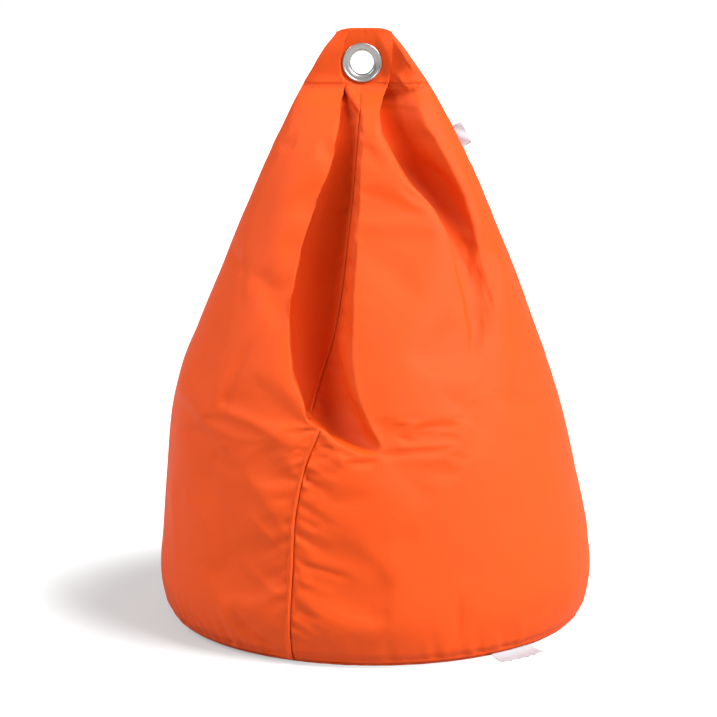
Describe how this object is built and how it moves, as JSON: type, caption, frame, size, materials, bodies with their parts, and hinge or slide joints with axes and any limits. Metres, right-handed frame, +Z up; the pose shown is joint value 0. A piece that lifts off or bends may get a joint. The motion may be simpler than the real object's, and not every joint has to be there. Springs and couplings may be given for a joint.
{
  "type": "bean bag chair",
  "caption": "Drop-shaped bean bag chair: sewn cloth gores on a round base, a flat sewn top with a metal eyelet, a zipped back seam and a zipped inner bag of beads.",
  "frame": {"origin": "on the floor under the middle of the round base, in the flat face the bag stands on", "axes": "+Z up; -Y is the front with the pleat beside the front seam; +X is the side that carries the side label"},
  "size_m": [0.762, 0.7598, 1.03],
  "materials": {
    "cover_cloth": "matte",
    "eyelet_metal": "polished",
    "label_tape": "satin",
    "zip_tape": "matte",
    "zip_coil": "satin",
    "zip_metal": "satin",
    "liner_cloth": "matte",
    "liner_zip_tape": "matte",
    "liner_zip_coil": "satin",
    "beads": "matte"
  },
  "bodies": {
    "bag": {"cover_left_gore": "cover_cloth", "cover_right_gore": "cover_cloth", "cover_back_gore": "cover_cloth", "cover_base": "cover_cloth", "top_facing_front": "cover_cloth", "top_facing_back": "cover_cloth", "eyelet_ring": "eyelet_metal", "eyelet_washer": "eyelet_metal", "side_label": "label_tape", "care_label_upper": "label_tape", "care_label_lower": "label_tape", "zip_tape_left": "zip_tape", "zip_tape_right": "zip_tape", "zip_coil_left": "zip_coil", "zip_coil_right": "zip_coil", "zip_top_stop_left": "zip_metal", "zip_top_stop_right": "zip_metal", "zip_bottom_stop": "zip_metal", "liner_front_panel": "liner_cloth", "liner_back_panel": "liner_cloth", "liner_base": "liner_cloth", "liner_zip_tape_front": "liner_zip_tape", "liner_zip_tape_back": "liner_zip_tape", "liner_zip_coil_front": "liner_zip_coil", "liner_zip_coil_back": "liner_zip_coil", "liner_zip_top_stop_front": "zip_metal", "liner_zip_top_stop_back": "zip_metal", "liner_zip_bottom_stop": "zip_metal", "bead_filling": "beads"},
    "cover_zip_slider": {"zip_slider": "zip_metal"},
    "cover_zip_pull": {"zip_pull": "zip_metal"},
    "inner_zip_slider": {"liner_zip_slider": "zip_metal"}
  },
  "joints": [
    {"name": "cover_zip_slide", "type": "slide", "parent": "bag", "child": "cover_zip_slider", "axis": [0.0379, -0.1233, 0.9916], "range_m": [-0.27538, 0]},
    {"name": "cover_zip_pull_hinge", "type": "hinge", "parent": "cover_zip_slider", "child": "cover_zip_pull", "pos_m": [-0.22038, 0.27045, 0.38707], "axis": [0.7993, 0.5993, 0.044], "range_deg": [0, 130]},
    {"name": "inner_zip_slide", "type": "slide", "parent": "bag", "child": "inner_zip_slider", "axis": [1, 0, 0], "range_m": [0, 0.2006]}
  ]
}
